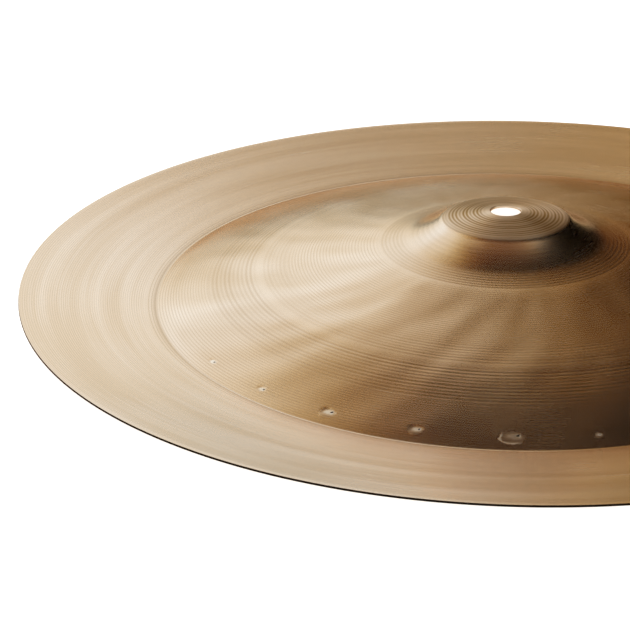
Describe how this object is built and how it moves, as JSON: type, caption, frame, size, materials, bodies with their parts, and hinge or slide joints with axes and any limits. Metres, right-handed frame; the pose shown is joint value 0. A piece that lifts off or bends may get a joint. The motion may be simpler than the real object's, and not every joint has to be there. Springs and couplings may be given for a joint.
{
  "type": "china cymbal",
  "caption": "Thin round bronze cymbal with a flat-topped bell, a shallow bow, a turned-up outer flange and a hole at its centre.",
  "frame": {"origin": "on the axis, in the plane of the crease ring that the cymbal stands on when it is laid down", "axes": "+Z along the axis towards the top of the bell; the row of punched dents lies on the -Y side"},
  "size_m": [0.4318, 0.4318, 0.0364],
  "materials": {
    "bronze": "turned bronze, satin, with fine concentric grooves and soft hammer marks"
  },
  "bodies": {
    "root": {"cymbal": "bronze"}
  },
  "joints": []
}
